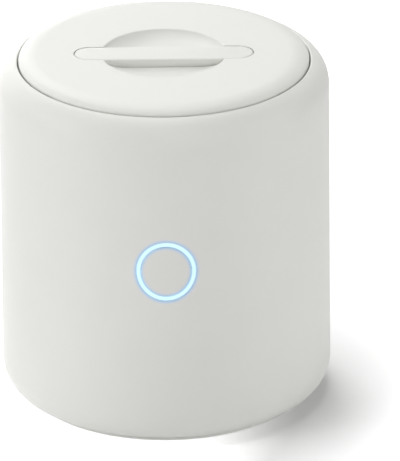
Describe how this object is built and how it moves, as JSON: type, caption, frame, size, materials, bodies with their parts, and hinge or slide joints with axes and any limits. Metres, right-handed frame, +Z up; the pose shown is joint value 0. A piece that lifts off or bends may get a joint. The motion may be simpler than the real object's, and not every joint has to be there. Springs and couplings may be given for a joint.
{
  "type": "portable uv sterilizer",
  "caption": "Small round white battery-powered UV steriliser for teats, with a lift-off lid, finger dish with grip bar, and a lit push button.",
  "frame": {"origin": "centre of the foot, on the surface that the object stands on", "axes": "+Z up along the case's axis; the button side faces -Y; +X is to the right seen from the button side"},
  "size_m": [0.096, 0.096, 0.1054],
  "materials": {
    "white_shell": "fine matt moulded white plastic",
    "ring_diffuser": "translucent light guide, lit from behind",
    "chamber_plastic": "light grey moulding",
    "reflector": "polished and anodised",
    "window_glass": "clear fused quartz",
    "seal_rubber": "soft white silicone",
    "foot_rubber": "grey non-slip silicone",
    "metal_core": "white coated metal-core board",
    "emitter_ceramic": "ceramic emitter package",
    "sink_metal": "extruded, satin",
    "screw_steel": "zinc plated",
    "cell_sleeve": "shrink sleeve over a steel can",
    "holder_plastic": "black moulding",
    "contact_metal": "plated spring metal",
    "board_laminate": "green solder mask",
    "chip_black": "moulded packages",
    "socket_steel": "pressed stainless shell",
    "tongue_plastic": "black contact tongue",
    "switch_plastic": "black switch body",
    "plunger_plastic": "brown switch plunger",
    "white_emitter": "small white emitters",
    "magnet_nickel": "nickel plated",
    "rack_plastic": "pale polypropylene",
    "flex_film": "amber polyimide film",
    "wire_red": "silicone insulation"
  },
  "bodies": {
    "case": {"outer_case": "white_shell", "chamber_cup": "chamber_plastic", "chamber_liner": "reflector", "quartz_window": "window_glass", "window_seal": "seal_rubber", "uv_led_board": "metal_core", "uv_leds": "emitter_ceramic", "heat_sink": "sink_metal", "heat_sink_screws": "screw_steel", "base_cover": "white_shell", "foot_pad": "foot_rubber", "base_screws": "screw_steel", "battery_cell": "cell_sleeve", "battery_holder": "holder_plastic", "battery_contacts": "contact_metal", "control_board": "board_laminate", "control_board_screws": "screw_steel", "board_components": "chip_black", "charging_socket_shell": "socket_steel", "charging_socket_tongue": "tongue_plastic", "light_ring": "ring_diffuser", "tact_switch": "switch_plastic", "button_board": "board_laminate", "button_board_screws": "screw_steel", "ring_leds": "white_emitter", "sensor_board": "board_laminate", "lid_sensor": "chip_black", "button_flex": "flex_film", "sensor_flex": "flex_film", "emitter_wires": "wire_red", "battery_wires": "wire_red"},
    "lid": {"lid_cap": "white_shell", "grip_bar": "white_shell", "lid_plug": "chamber_plastic", "lid_magnet": "magnet_nickel", "lid_gasket": "seal_rubber", "lid_reflector": "reflector", "lid_screws": "screw_steel"},
    "button": {"button_cap": "white_shell", "switch_plunger": "plunger_plastic"},
    "rack": {"item_rack": "rack_plastic"}
  },
  "joints": [
    {"name": "lid_lift", "type": "slide", "parent": "case", "child": "lid", "axis": [0, 0, 1], "range_m": [0, 0.06]},
    {"name": "button_press", "type": "slide", "parent": "case", "child": "button", "axis": [0, 1, 0], "range_m": [0, 0.0005], "stiffness_N_per_m": 2500},
    {"name": "rack_lift", "type": "slide", "parent": "case", "child": "rack", "axis": [0, 0, 1], "range_m": [0, 0.03]}
  ]
}
